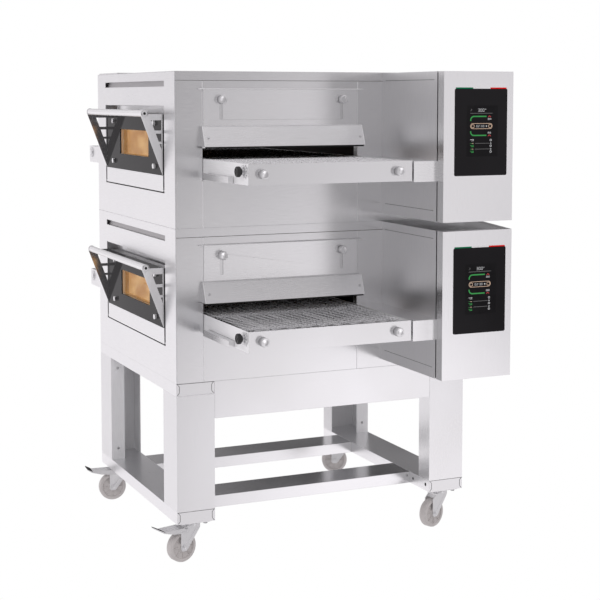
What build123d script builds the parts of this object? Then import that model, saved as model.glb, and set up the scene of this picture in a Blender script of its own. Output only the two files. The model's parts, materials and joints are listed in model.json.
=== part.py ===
from build123d import *
import math
import os

# Two-deck conveyor pizza oven on a castor stand, in millimetres.
# +Z is up, +X runs across the conveyors, +Y runs along them from front to back.
# The origin is on the floor, at the centre of the footprint.

# ---------------------------------------------------------------- dimensions
body_width = 1061.0          # X
body_depth = 869.0           # Y
deck_height = 500.0
deck_count = 2
sheet = 2.0

castor_height = 134.0        # floor to the underside of the stand
rail_height = 40.0
post_height = 381.0
stand_top = castor_height + 2 * rail_height + post_height      # 595
oven_top = stand_top + deck_count * deck_height                # 1595

body_left = -493.0           # X of the door side
body_front = -469.0          # Y of the front face
deck_tops = {"upper": oven_top, "lower": oven_top - deck_height}

# stand
post_x = 130.0
post_y = 133.0
post_lip = 75.0
post_flange = 50.0
apron_height = 122.5
crossbar_front = (138.0, 270.0)
crossbar_rear = (610.0, 740.0)

# door side, depths below the deck top
vent_y = (103.0, 770.0)
vent_z = (-48.0, -30.0)
recess_y = (105.0, 770.0)
recess_z = (-393.0, -111.0)
recess_depth = 46.0
door_y = (117.0, 757.0)
door_z = (-389.0, -139.0)
glass_bottom = -336.0
glass_thickness = 5.0
window_y = (270.0, 592.0)
window_z = (-282.0, -195.0)
door_axis_x = 4.0
door_axis_z = -385.0
door_pin_radius = 3.0
handle_x = -62.0
handle_z = -135.0
handle_radius = 11.0
standoff_radius = 8.5

# tunnel, shutter and hood
seam = 1.0
tunnel_x = (94.0, 644.0)
tunnel_z = (-346.0, -185.0)
throat_depth = 28.0
shutter_x = (95.0, 642.0)
shutter_z = (-176.0, -57.0)
shutter_gap = 0.5
hood_x = (86.5, 653.0)
hood_top = -175.0
hood_bottom = -240.0
hood_depth_top = 15.0
hood_depth_bottom = 41.0
clamp_x = (155.5, 584.0)
clamp_z = -90.0
clamp_slot_width = 11.0
clamp_slot_bottom = -155.0
clamp_stud_radius = 4.0
running_clearance = 0.05
knob_radius = 14.0

# chamber
liner_x = (46.0, 692.0)
liner_y = (28.0, 841.0)
liner_z = (-374.0, -116.0)
door_opening_y = (140.0, 735.0)
door_opening_z = (-345.0, -160.0)
element_radius = 5.0
element_y = (100.0, 230.0, 360.0, 510.0, 640.0, 770.0)

# conveyor
conveyor_x = (95.0, 643.0)
conveyor_y = (-384.0, 1330.0)
conveyor_z = (-342.5, -278.5)
belt_x = (106.0, 632.0)
belt_axis_z = -303.0
belt_axis_front = -346.0
belt_axis_rear = 1291.0
belt_outer_radius = 24.0
belt_thickness = 3.0
shaft_radius = 10.0
sprocket_radius = 20.4
sprocket_x = (130.0, 245.0, 369.0, 493.0, 608.0)
drive_cover_x = (649.0, 738.0)
drive_cover_z = (-346.0, -281.0)
tray_y = (-267.0, -48.0)

# control box
box_left = 738.0
box_z = (-474.0, -2.0)
box_front = -370.0
cover_rear = -376.0
cover_front = -412.0
display_x = (777.0, 967.5)
display_z = (-329.0, -56.0)
cover_axis = (1003.5, -376.0)

# castors: centre, and the direction in which the wheel trails
wheel_radius = 50.0
wheel_width = 30.0
castor_trail = 40.0
axle_radius = 5.0
king_pin_radius = 6.0
pedal_pivot = (34.0, 108.0)  # along the trail, above the floor
castors = {
    "front_left": (65.0, 50.0, 195.0, True),
    "back_left": (65.0, 819.0, 175.0, True),
    "front_right": (996.0, 50.0, 200.0, False),
    "back_right": (996.0, 819.0, 160.0, False),
}

os.makedirs("parts", exist_ok=True)


# ---------------------------------------------------------------- helpers
# Lengths x and y are measured from the body's left face and front face.
def px(x):
    return body_left + x


def py(y):
    return body_front + y


def block(x0, x1, y0, y1, z0, z1, mode=Mode.ADD):
    with Locations((px((x0 + x1) / 2), py((y0 + y1) / 2), (z0 + z1) / 2)):
        Box(abs(x1 - x0), abs(y1 - y0), abs(z1 - z0), mode=mode)


def rod_x(x0, x1, y, z, radius, mode=Mode.ADD):
    with Locations(Location((px((x0 + x1) / 2), py(y), z), (0, 90, 0))):
        Cylinder(radius, abs(x1 - x0), mode=mode)


def rod_y(y0, y1, x, z, radius, mode=Mode.ADD):
    with Locations(Location((px(x), py((y0 + y1) / 2), z), (90, 0, 0))):
        Cylinder(radius, abs(y1 - y0), mode=mode)


def rod_z(z0, z1, x, y, radius, mode=Mode.ADD):
    with Locations((px(x), py(y), (z0 + z1) / 2)):
        Cylinder(radius, abs(z1 - z0), mode=mode)


def plan(points, z0, z1, mode=Mode.ADD):
    """A plan outline, extruded upwards from z0 to z1."""
    with BuildSketch(Plane.XY.offset(z0)) as outline:
        with BuildLine():
            Polyline([(px(x), py(y)) for x, y in points], close=True)
        make_face()
    extrude(outline.sketch, amount=z1 - z0, mode=mode)


def profile(points, x0, x1, mode=Mode.ADD):
    """An outline in Y and Z, extruded along +X from x0 to x1."""
    with BuildSketch(Plane.YZ.offset(px(x0))) as outline:
        with BuildLine():
            Polyline([(py(y), z) for y, z in points], close=True)
        make_face()
    extrude(outline.sketch, amount=x1 - x0, mode=mode)


def side_profile(points, y0, y1, mode=Mode.ADD):
    """An outline in X and Z, extruded along +Y from y0 to y1."""
    with BuildSketch(Plane.XZ.offset(-py(y0))) as outline:
        with BuildLine():
            Polyline([(px(x), z) for x, z in points], close=True)
        make_face()
    extrude(outline.sketch, amount=-(y1 - y0), mode=mode)


def save(builder, name):
    builder.part.label = name
    export_step(builder.part, f"parts/{name}.step")


# ---------------------------------------------------------------- stand
# Four folded corner posts, each an open channel with an inner lip and a flange.
with BuildPart() as stand_posts:
    z0, z1 = castor_height + rail_height, castor_height + rail_height + post_height
    W, D, s = body_width, body_depth, sheet
    for left in (True, False):
        for front in (True, False):
            xo, xi = (0.0, post_x) if left else (W, W - 133.0)
            xs = 1.0 if left else -1.0
            yo, yi = (0.0, post_y) if front else (D, D - post_y)
            ys = 1.0 if front else -1.0
            block(xo, xo + xs * s, yo, yi, z0, z1)
            block(xo, xi, yo, yo + ys * s, z0, z1)
            block(xi - xs * s, xi, yo, yo + ys * post_lip, z0, z1)
            block(xo, xo + xs * post_flange, yi - ys * s, yi, z0, z1)
            rod_y(yi - 8, yi + 8, xo + xs * 26, z1 - 40, 5.0, mode=Mode.SUBTRACT)
            rod_y(yi - 8, yi + 8, xo + xs * 26, z0 + 40, 5.0, mode=Mode.SUBTRACT)
save(stand_posts, "stand_posts")

# Closed rails along both sides, above and below the posts.
with BuildPart() as stand_side_rails:
    low, high = castor_height, stand_top - rail_height
    for x0, x1, inner in ((0.0, post_x, post_x), (body_width - 133.0, body_width, body_width - 133.0)):
        for z in (low, high):
            block(x0, x1, 0, body_depth, z, z + rail_height)
            block(x0 + sheet, x1 - sheet, sheet, body_depth - sheet, z + sheet, z + rail_height - sheet, mode=Mode.SUBTRACT)
        rod_x(inner - 6, inner + 6, 26, low + 22, 6.0, mode=Mode.SUBTRACT)
        rod_z(high - 3, high + 3, (x0 + x1) / 2, body_depth / 2, 6.0, mode=Mode.SUBTRACT)
save(stand_side_rails, "stand_side_rails")

# Front and rear aprons under the oven, with folded top and bottom flanges.
with BuildPart() as stand_aprons:
    x0, x1 = post_x, body_width - 133.0
    for y, s in ((0.0, 1.0), (body_depth, -1.0)):
        block(x0, x1, y, y + s * sheet, stand_top - apron_height, stand_top)
        block(x0, x1, y, y + s * 32, stand_top - sheet, stand_top)
        block(x0, x1, y, y + s * 22, stand_top - apron_height, stand_top - apron_height + sheet)
save(stand_aprons, "stand_aprons")

# Two crossbars between the bottom rails, open underneath.
with BuildPart() as lower_crossbars:
    for y0, y1 in (crossbar_front, crossbar_rear):
        block(post_x, body_width - 133.0, y0, y1, castor_height, castor_height + rail_height)
        block(post_x, body_width - 133.0, y0 + sheet, y1 - sheet, castor_height, castor_height + rail_height - sheet, mode=Mode.SUBTRACT)
save(lower_crossbars, "lower_crossbars")

# ---------------------------------------------------------------- castors
# Fixed top plates, each with its bearing race and king pin.
with BuildPart() as castor_top_plates:
    for cx, cy, angle, braked in castors.values():
        block(cx - 50, cx + 50, cy - 42.5, cy + 42.5, castor_height - 4, castor_height)
        rod_z(castor_height - 9.5, castor_height - 3, cx, cy, 24.0)
        rod_z(castor_height - 20, castor_height - 4, cx, cy, king_pin_radius)
        rod_z(castor_height - 24, castor_height - 18.6, cx, cy, 10.0)
save(castor_top_plates, "castor_top_plates")

for name, (cx, cy, angle, braked) in castors.items():
    a = math.radians(angle)
    trail = (math.cos(a), math.sin(a), 0.0)
    across = (math.sin(a), -math.cos(a), 0.0)
    side = Plane(origin=(px(cx), py(cy), 0), x_dir=trail, z_dir=across)
    above = Plane(origin=(px(cx), py(cy), 0), x_dir=trail, z_dir=(0, 0, 1))

    # Pressed fork: a crown disc, a bridge plate, two tapering legs and the axle bolt.
    with BuildPart() as fork:
        with BuildSketch(above.offset(118.0)):
            Circle(28.0)
        extrude(amount=6.2)
        with BuildSketch(above.offset(116.0)):
            with Locations((8.0, 0.0)):
                Rectangle(60.0, 39.0)
        extrude(amount=2.5)
        for offset_mm in (16.5, -19.5):
            with BuildSketch(side.offset(offset_mm)):
                with BuildLine():
                    Polyline([(-22, 118.5), (-22, 108), (26, 44), (32, 38), (47, 38), (53, 44), (53, 100), (38, 113), (38, 118.5)], close=True)
                make_face()
            extrude(amount=3.0)
        with BuildSketch(side):
            with Locations((castor_trail, wheel_radius)):
                Circle(axle_radius)
        extrude(amount=24.0, both=True)
        for offset_mm in (19.5, -24.5):
            with BuildSketch(side.offset(offset_mm)):
                with Locations((castor_trail, wheel_radius)):
                    RegularPolygon(8.5, 6)
            extrude(amount=5.0)
        if braked:
            with BuildSketch(side):
                with Locations(pedal_pivot):
                    Circle(4.0)
            extrude(amount=28.0, both=True)
        with BuildSketch(above.offset(110.0)):
            Circle(king_pin_radius + running_clearance)
        extrude(amount=20.0, mode=Mode.SUBTRACT)
    save(fork, f"{name}_castor_fork")

    # Solid plastic wheel with dished sides, turning on the axle bolt.
    with BuildPart() as wheel:
        with BuildSketch(side):
            with Locations((castor_trail, wheel_radius)):
                Circle(wheel_radius)
        extrude(amount=wheel_width / 2, both=True)
        fillet(wheel.edges().filter_by(GeomType.CIRCLE), radius=5.0)
        for offset_mm in (wheel_width / 2 - 5.0, -wheel_width / 2):
            with BuildSketch(side.offset(offset_mm)):
                with Locations((castor_trail, wheel_radius)):
                    Circle(38.0)
                    Circle(15.0, mode=Mode.SUBTRACT)
            extrude(amount=5.0, mode=Mode.SUBTRACT)
        with BuildSketch(side):
            with Locations((castor_trail, wheel_radius)):
                Circle(axle_radius + running_clearance)
        extrude(amount=wheel_width, both=True, mode=Mode.SUBTRACT)
    save(wheel, f"{name}_castor_wheel")

    # Brake pedal: two cheeks outside the fork, a tread plate and an upturned toe.
    if braked:
        with BuildPart() as pedal:
            with BuildSketch(side.offset(-26.0)):
                with BuildLine():
                    Polyline([(25, 104), (31, 98), (84, 103), (121, 113), (138, 124.5), (136.5, 126.5), (119, 117), (44, 117), (44, 114), (25, 114)], close=True)
                make_face()
            extrude(amount=52.0)
            with BuildSketch(side.offset(-23.0)):
                with BuildLine():
                    Polyline([(20, 90), (119, 90), (119, 114.5), (44, 114.5), (44, 120), (20, 120)], close=True)
                make_face()
            extrude(amount=46.0, mode=Mode.SUBTRACT)
            with BuildSketch(side):
                with Locations(pedal_pivot):
                    Circle(4.0 + running_clearance)
            extrude(amount=30.0, both=True, mode=Mode.SUBTRACT)
        save(pedal, f"{name}_brake_pedal")

# ---------------------------------------------------------------- deck casings
# Door side: vent slot with folded lips, and the recess in which the door sits.
with BuildPart() as left_side_panels:
    for t in deck_tops.values():
        block(0, sheet, 0, body_depth, t - deck_height, t - sheet)
        block(-1, sheet + 1, vent_y[0], vent_y[1], t + vent_z[0], t + vent_z[1], mode=Mode.SUBTRACT)
        block(sheet, 14, vent_y[0], vent_y[1], t + vent_z[1], t + vent_z[1] + 2)
        block(sheet, 14, vent_y[0], vent_y[1], t + vent_z[0] - 2, t + vent_z[0])
        block(-1, sheet + 1, recess_y[0], recess_y[1], t + recess_z[0], t + recess_z[1], mode=Mode.SUBTRACT)
        block(sheet, recess_depth, recess_y[0] - 2, recess_y[1] + 2, t + recess_z[1], t + recess_z[1] + 2)
        block(sheet, recess_depth, recess_y[0] - 2, recess_y[1] + 2, t + recess_z[0] - 2, t + recess_z[0])
        block(sheet, recess_depth, recess_y[0] - 2, recess_y[0], t + recess_z[0] - 2, t + recess_z[1] + 2)
        block(sheet, recess_depth, recess_y[1], recess_y[1] + 2, t + recess_z[0] - 2, t + recess_z[1] + 2)
        # surround of the door opening at the back of the recess
        block(recess_depth - 2, recess_depth, recess_y[0] - 1, recess_y[1] + 1, t + door_opening_z[1], t + recess_z[1] + 1)
        block(recess_depth - 2, recess_depth, recess_y[0] - 1, recess_y[1] + 1, t + recess_z[0] - 1, t + door_opening_z[0])
        block(recess_depth - 2, recess_depth, recess_y[0] - 1, door_opening_y[0], t + recess_z[0] - 1, t + recess_z[1] + 1)
        block(recess_depth - 2, recess_depth, door_opening_y[1], recess_y[1] + 1, t + recess_z[0] - 1, t + recess_z[1] + 1)
save(left_side_panels, "left_side_panels")

# Technical side: plain sheet with two rows of vent slots.
with BuildPart() as right_side_panels:
    for t in deck_tops.values():
        block(body_width - sheet, body_width, 0, body_depth, t - deck_height, t - sheet)
        for z in (t - 120, t - 400):
            with Locations(*[(px(body_width - 1), py(140.0 + 48.0 * i), z) for i in range(13)]):
                Box(6.0, 8.0, 70.0, mode=Mode.SUBTRACT)
save(right_side_panels, "right_side_panels")

# Lids, folded down over the front and the back.
with BuildPart() as top_panels:
    for name, t in deck_tops.items():
        block(0, body_width, 0, body_depth, t - sheet, t)
        block(sheet, body_width - sheet, 0, sheet, t - 29, t - sheet)
        block(sheet, body_width - sheet, body_depth - sheet, body_depth, t - 29, t - sheet)
    block(6, body_width - 6, 640, body_depth - 2, oven_top, oven_top + 4)
save(top_panels, "top_panels")

with BuildPart() as base_pans:
    for t in deck_tops.values():
        block(sheet, body_width - sheet, sheet, body_depth - sheet, t - deck_height, t - deck_height + sheet)
save(base_pans, "base_pans")


# Front and back skins: a strip each side of the tunnel, and a middle panel with the tunnel's throat.
def face_panel(t, y_outer, inward, stud_holes):
    y_in = y_outer + inward * sheet
    bottom, top = t - deck_height, t - 30
    y_throat = y_outer + inward * throat_depth
    block(sheet, tunnel_x[0] - seam, y_outer, y_in, bottom, top)
    block(tunnel_x[1] + seam, body_width - sheet, y_outer, y_in, bottom, top)
    block(tunnel_x[0], tunnel_x[1], y_outer, y_in, t + tunnel_z[1], top)
    block(tunnel_x[0], tunnel_x[1], y_outer, y_in, bottom, t + tunnel_z[0])
    block(tunnel_x[0] - 2, tunnel_x[1] + 2, y_in, y_throat, t + tunnel_z[1], t + tunnel_z[1] + 2)
    block(tunnel_x[0] - 2, tunnel_x[1] + 2, y_in, y_throat, t + tunnel_z[0] - 2, t + tunnel_z[0])
    block(tunnel_x[0] - 2, tunnel_x[0], y_in, y_throat, t + tunnel_z[0] - 2, t + tunnel_z[1] + 2)
    block(tunnel_x[1], tunnel_x[1] + 2, y_in, y_throat, t + tunnel_z[0] - 2, t + tunnel_z[1] + 2)
    if stud_holes:
        for x in clamp_x:
            rod_y(y_outer - 3, y_outer + 5, x, t + clamp_z, clamp_stud_radius + running_clearance, mode=Mode.SUBTRACT)


with BuildPart() as front_panels:
    for t in deck_tops.values():
        face_panel(t, 0.0, 1.0, True)
save(front_panels, "front_panels")

with BuildPart() as back_panels:
    for t in deck_tops.values():
        face_panel(t, body_depth, -1.0, False)
        rod_y(body_depth - 6, body_depth + 6, 1000, t - 440, 9.0, mode=Mode.SUBTRACT)
save(back_panels, "back_panels")

# Supply inlets: a threaded gland with a hexagon and a dome nut, low on the back.
with BuildPart() as cable_glands:
    for t in deck_tops.values():
        gland = Plane(origin=(px(1000), py(body_depth), t - 440), x_dir=(-1, 0, 0), z_dir=(0, 1, 0))
        with BuildSketch(gland.offset(-14.0)):
            Circle(9.0)
        extrude(amount=16.0)
        with BuildSketch(gland):
            RegularPolygon(15.0, 6)
        extrude(amount=6.0)
        with BuildSketch(gland.offset(6.0)):
            Circle(12.5)
        extrude(amount=16.0, taper=8.0)
        with BuildSketch(gland.offset(-14.0)):
            Circle(5.5)
        extrude(amount=40.0, mode=Mode.SUBTRACT)
save(cable_glands, "cable_glands")

# ---------------------------------------------------------------- baking chamber
with BuildPart() as chamber_liners:
    for t in deck_tops.values():
        x0, x1 = liner_x
        y0, y1 = liner_y
        z0, z1 = t + liner_z[0], t + liner_z[1]
        block(x0, x1, y0, y1, z0, z1)
        block(x0 + 2, x1 - 2, y0 + 2, y1 - 2, z0 + 2, z1 - 2, mode=Mode.SUBTRACT)
        block(tunnel_x[0], tunnel_x[1], y0 - 1, y1 + 1, t + tunnel_z[0], t + tunnel_z[1], mode=Mode.SUBTRACT)
        block(x0 - 1, x0 + 3, door_opening_y[0], door_opening_y[1], t + door_opening_z[0], t + door_opening_z[1], mode=Mode.SUBTRACT)
save(chamber_liners, "chamber_liners")

with BuildPart() as insulation_blocks:
    for t in deck_tops.values():
        block(48, 758, 31, 838, t + liner_z[1], t - 3)
        block(48, 758, 31, 838, t - 497, t + liner_z[0])
        block(liner_x[1], 758, 31, 838, t + liner_z[0], t + liner_z[1])
save(insulation_blocks, "insulation_blocks")

# Tubular elements across the chamber, above the belt and below it.
with BuildPart() as heating_elements:
    for t in deck_tops.values():
        for y in element_y:
            rod_x(liner_x[0] + 2, liner_x[1] - 2, y, t - 134, element_radius)
            rod_x(liner_x[0] + 2, liner_x[1] - 2, y, t - 360, element_radius)
save(heating_elements, "heating_elements")

# ---------------------------------------------------------------- conveyors
with BuildPart() as conveyor_frames:
    for t in deck_tops.values():
        x0, x1 = conveyor_x
        y0, y1 = conveyor_y
        z0, z1 = t + conveyor_z[0], t + conveyor_z[1]
        block(x0, x0 + 2, y0, y1, z0, z1)
        block(x1 - 2, x1, y0, y1, z0, z1)
        block(x0, x1, y0, y0 + 2, z0, z1)
        block(x0, x1, y1 - 2, y1, z0, z1)
        for y in (-240.0, 40.0, 300.0, 570.0, 830.0, 1150.0):
            block(x0 + 1, x1 - 1, y - 5, y + 5, t - 298, t - 290)
        for x in (190.0, 310.0, 430.0, 550.0):
            block(x - 2, x + 2, -318, 1262, t - 292, t - 284)
        for y in (-296.0, -32.0):
            block(x0 + 1, x1 - 1, y, y + 30, z0, z0 + 1.2)
        block(x0 - 1, x0 + 3, tray_y[0] - 1, tray_y[1] + 1, z0 - 1, t - 321.5, mode=Mode.SUBTRACT)
        for y in (belt_axis_front, belt_axis_rear):
            rod_x(x0 - 2, x0 + 4, y, t + belt_axis_z, shaft_radius + 0.5, mode=Mode.SUBTRACT)
            rod_x(x1 - 4, x1 + 2, y, t + belt_axis_z, shaft_radius + 0.5, mode=Mode.SUBTRACT)
save(conveyor_frames, "conveyor_frames")

# Endless belts: a flat loop with round ends about the two shafts.
with BuildPart() as conveyor_belts:
    for t in deck_tops.values():
        with BuildSketch(Plane.YZ.offset(px(belt_x[0]))):
            mid = (py((belt_axis_front + belt_axis_rear) / 2), t + belt_axis_z)
            with Locations(mid):
                SlotCenterToCenter(belt_axis_rear - belt_axis_front, 2 * belt_outer_radius)
                SlotCenterToCenter(belt_axis_rear - belt_axis_front, 2 * (belt_outer_radius - belt_thickness), mode=Mode.SUBTRACT)
        extrude(amount=belt_x[1] - belt_x[0])
save(conveyor_belts, "conveyor_belts")

# Flanged bushes on the outside of the side plates.
with BuildPart() as shaft_bearings:
    for t in deck_tops.values():
        for y in (belt_axis_front, belt_axis_rear):
            for xa, xb in ((91.0, 95.0), (643.0, 647.0)):
                rod_x(xa, xb, y, t + belt_axis_z, 19.0)
                rod_x(xa - 1, xb + 1, y, t + belt_axis_z, shaft_radius + running_clearance, mode=Mode.SUBTRACT)
save(shaft_bearings, "shaft_bearings")

# Clamp screws that stay put: they hold the end plates and the rear shutters.
# The front shutters' studs are here too, and their knobs turn on them.
with BuildPart() as clamp_screws:
    for t in deck_tops.values():
        for x in (140.0, 593.0):
            rod_y(-406, -388, x, t - 310, 14.5)
            rod_y(-388.5, -384, x, t - 310, 9.0)
            rod_y(1334, 1352, x, t - 310, 14.5)
            rod_y(1330, 1334.5, x, t - 310, 9.0)
        for x in clamp_x:
            rod_y(body_depth + 5, body_depth + 27, x, t + clamp_z, knob_radius)
            rod_y(body_depth + 2.9, body_depth + 5.5, x, t + clamp_z, 9.0)
            rod_y(body_depth, body_depth + 3, x, t + clamp_z, clamp_stud_radius)
            rod_y(-20, 8, x, t + clamp_z, clamp_stud_radius)
            rod_y(2, 6, x, t + clamp_z, 7.5)
save(clamp_screws, "clamp_screws")

# Drive housings beside the front shafts: a thin shell with one rounded corner.
with BuildPart() as drive_covers:
    for t in deck_tops.values():
        x0, x1 = drive_cover_x
        z0, z1 = t + drive_cover_z[0], t + drive_cover_z[1]
        for grow, za, zb, mode in ((0.0, z0, z1, Mode.ADD), (2.0, z0 + 2, z1 - 2, Mode.SUBTRACT)):
            with BuildSketch(Plane.XY.offset(za)) as plan_outline:
                with BuildLine():
                    Polyline((px(x0 + grow), py(0)), (px(x0 + grow), py(-384 + grow)), (px(x1 - 35), py(-384 + grow)))
                    CenterArc((px(x1 - 35), py(-349)), 35 - grow, -90, 90)
                    Polyline((px(x1 - grow), py(-349)), (px(x1 - grow), py(0)), (px(x0 + grow), py(0)))
                make_face()
            extrude(amount=zb - za, mode=mode)
        rod_x(x0 - 1, x0 + 3, belt_axis_front, t + belt_axis_z, shaft_radius + 1.5, mode=Mode.SUBTRACT)
save(drive_covers, "drive_covers")

with BuildPart() as drive_motors:
    for t in deck_tops.values():
        block(698, 730, -354, -310, t - 336, t - 284)
        rod_y(-310, -200, 712, t - 312, 20.0)
        rod_y(-200, -186, 712, t - 312, 12.0)
save(drive_motors, "drive_motors")

# ---------------------------------------------------------------- control boxes
def box_outline(inset, front):
    run = (body_width - 999.4) / 280.0
    x_front = 999.4 - (box_front - front) * run
    return [(box_left + inset, -inset), (body_width - inset, -inset), (body_width - inset, -90 - inset * 0.2),
            (x_front - inset, front), (box_left + inset, front)]


hinge_offset_z = ((-60.0, -40.0), (-440.0, -420.0))
with BuildPart() as control_boxes:
    for t in deck_tops.values():
        plan(box_outline(0.0, box_front), t + box_z[0], t + box_z[1])
        plan(box_outline(sheet, box_front), t + box_z[0] + sheet, t + box_z[1] - sheet, mode=Mode.SUBTRACT)
        for z in (t - 28.0, t - 440.0):
            block(box_left - 1, box_left + 0.6, -351, -23, z - 0.6, z + 0.6, mode=Mode.SUBTRACT)
        for za, zb in hinge_offset_z:
            block(996.8, 1004.5, -373, -368, t + za, t + zb)
            rod_z(t + za, t + zb, cover_axis[0], cover_axis[1], 4.0)
            rod_z(t + za - 24, t + za, cover_axis[0], cover_axis[1], 2.0)
save(control_boxes, "control_boxes")

# Mounting plate with the power supply, drives and terminals.
with BuildPart() as control_boards:
    for t in deck_tops.values():
        block(box_left + sheet, box_left + sheet + 2, -340, -40, t - 440, t - 60)
        block(742, 782, -320, -200, t - 180, t - 90)
        block(742, 800, -180, -70, t - 200, t - 80)
        block(742, 770, -320, -60, t - 260, t - 225)
        block(742, 790, -310, -220, t - 400, t - 290)
        block(742, 786, -190, -80, t - 410, t - 300)
save(control_boards, "control_boards")

for deck, t in deck_tops.items():
    # Front cover of the control box, a shallow tray hung on two knuckles at its right edge.
    with BuildPart() as control_cover:
        run = (body_width - 999.4) / 280.0
        xr = 999.4 + (cover_rear - box_front) * run
        xf = 999.4 + (cover_front - box_front) * run
        plan([(box_left, cover_rear), (xr, cover_rear), (xf, cover_front), (box_left, cover_front)], t + box_z[0], t + box_z[1])
        plan([(box_left + 2, cover_rear + 1), (xr - 2, cover_rear + 1), (xf - 2, cover_front + 2), (box_left + 2, cover_front + 2)],
             t + box_z[0] + 2, t + box_z[1] - 2, mode=Mode.SUBTRACT)
        for za, zb in hinge_offset_z:
            block(995.4, 1003.5, -380, -377, t + za - 20.3, t + za - 0.3)
            rod_z(t + za - 20.3, t + za - 0.3, cover_axis[0], cover_axis[1], 4.0)
            rod_z(t + za - 21, t + za, cover_axis[0], cover_axis[1], 2.0 + running_clearance, mode=Mode.SUBTRACT)
    save(control_cover, f"{deck}_control_cover")

    # Touch panel glass on the cover.
    with BuildPart() as touch_panel:
        mid_x, mid_z = sum(display_x) / 2, sum(display_z) / 2
        front = Plane(origin=(px(mid_x), py(cover_front), t + mid_z), x_dir=(1, 0, 0), z_dir=(0, -1, 0))
        with BuildSketch(front):
            RectangleRounded(display_x[1] - display_x[0], display_z[1] - display_z[0], 5.0)
        extrude(amount=2.0)
    save(touch_panel, f"{deck}_touch_panel")

# ---------------------------------------------------------------- moving pieces of each deck
for deck, t in deck_tops.items():
    # Door: bottom bar with hinge bores, flush lower plate, and a hollow insulated casing round the window.
    with BuildPart() as door_panel:
        block(0, 10, door_y[0], door_y[1], t + door_z[0], t + door_z[0] + 12)
        block(0, 2, door_y[0], door_y[1], t + door_z[0] + 12, t + glass_bottom - 0.5)
        block(6, 34, door_y[0] + 2, door_y[1] - 2, t + door_z[0] + 2, t + door_z[1] - 1)
        block(10, 32, door_y[0] + 4, door_y[1] - 4, t + door_z[0] + 14, t + door_z[1] - 3, mode=Mode.SUBTRACT)
        block(6, 34, window_y[0] - 2, window_y[1] + 2, t + window_z[0] - 2, t + window_z[1] + 2)
        block(5, 35, window_y[0], window_y[1], t + window_z[0], t + window_z[1], mode=Mode.SUBTRACT)
        for ya, yb in ((door_y[0] - 1, door_y[0] + 14), (door_y[1] - 14, door_y[1] + 1)):
            rod_y(ya, yb, door_axis_x, t + door_axis_z, door_pin_radius + running_clearance, mode=Mode.SUBTRACT)
    save(door_panel, f"{deck}_door_panel")

    # Outer smoked glass and the clear pane in the window opening.
    with BuildPart() as door_glass:
        block(0, glass_thickness, door_y[0], door_y[1], t + glass_bottom, t + door_z[1])
        block(12, 15, window_y[0], window_y[1], t + window_z[0], t + window_z[1])
    save(door_glass, f"{deck}_door_glass")

    # Handle: a tube between two pierced triangular arms, with end washers, and four glass standoffs.
    with BuildPart() as door_handle:
        for y0, y1, w0, w1 in ((door_y[0], door_y[0] + 3, door_y[0] - 3, door_y[0]), (door_y[1] - 3, door_y[1], door_y[1], door_y[1] + 3)):
            side_profile([(-71, t - 137), (0, t - 137), (0, t + glass_bottom), (-73.5, t - 142)], y0, y1)
            side_profile([(-40, t - 157), (-3, t - 157), (-3, t - 190), (-27.7, t - 190)], y0 - 1, y1 + 1, mode=Mode.SUBTRACT)
            side_profile([(-23.9, t - 200), (-3, t - 200), (-3, t - 226), (-14.1, t - 226)], y0 - 1, y1 + 1, mode=Mode.SUBTRACT)
            side_profile([(-11.1, t - 234), (-3, t - 234), (-3, t - 256)], y0 - 1, y1 + 1, mode=Mode.SUBTRACT)
            rod_y(w0, w1, handle_x, t + handle_z, handle_radius + 1.0)
            rod_y(y0, y1, handle_x, t + handle_z, handle_radius + 1.0)
        rod_y(door_y[0] + 3, door_y[1] - 3, handle_x, t + handle_z, handle_radius)
        rod_y(door_y[0] + 4, door_y[1] - 4, handle_x, t + handle_z, handle_radius - 1.5, mode=Mode.SUBTRACT)
        for y in (200.0, 661.0):
            for z in (t - 167.0, t - 309.0):
                rod_x(-8, 0, y, z, standoff_radius)
    save(door_handle, f"{deck}_door_handle")

    # Shutters: a sliding plate with two clamp slots and the wedge-shaped hood.
    for place, y_face, out in (("front", 0.0, -1.0), ("rear", body_depth, 1.0)):
        with BuildPart() as shutter:
            ya, yb = y_face + out * shutter_gap, y_face + out * (shutter_gap + 2.0)
            block(shutter_x[0], shutter_x[1], ya, yb, t + shutter_z[0], t + shutter_z[1])
            block(77, 660, ya, y_face + out * 8, t + shutter_z[1], t + shutter_z[1] + 1.5)
            for x in clamp_x:
                hi, lo = t + clamp_z, t + clamp_slot_bottom + clamp_slot_width / 2
                block(x - clamp_slot_width / 2, x + clamp_slot_width / 2, ya - 3, ya + 3, lo, hi, mode=Mode.SUBTRACT)
                rod_y(ya - 3, ya + 3, x, lo, clamp_slot_width / 2, mode=Mode.SUBTRACT)
                rod_y(ya - 3, ya + 3, x, hi, clamp_slot_width / 2, mode=Mode.SUBTRACT)
            outer = [(ya, t + hood_top), (y_face + out * hood_depth_top, t + hood_top), (y_face + out * hood_depth_bottom, t + hood_bottom), (ya, t + hood_bottom)]
            inner = [(y_face, t + hood_top - 2), (y_face + out * (hood_depth_top - 1.4), t + hood_top - 2),
                     (y_face + out * (hood_depth_bottom - 1.8), t + hood_bottom - 1), (y_face, t + hood_bottom - 1)]
            profile(outer, hood_x[0], hood_x[1])
            profile(inner, hood_x[0] + 2, hood_x[1] - 2, mode=Mode.SUBTRACT)
        save(shutter, f"{deck}_{place}_shutter")

    # Front clamp knobs, each with a blind bore that runs on its stud.
    for hand, x in (("left", clamp_x[0]), ("right", clamp_x[1])):
        with BuildPart() as knob:
            rod_y(-27, -5, x, t + clamp_z, knob_radius)
            rod_y(-5.5, -2.9, x, t + clamp_z, 9.0)
            rod_y(-20.5, -2.0, x, t + clamp_z, clamp_stud_radius + running_clearance, mode=Mode.SUBTRACT)
        save(knob, f"{deck}_{hand}_shutter_knob")

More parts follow.
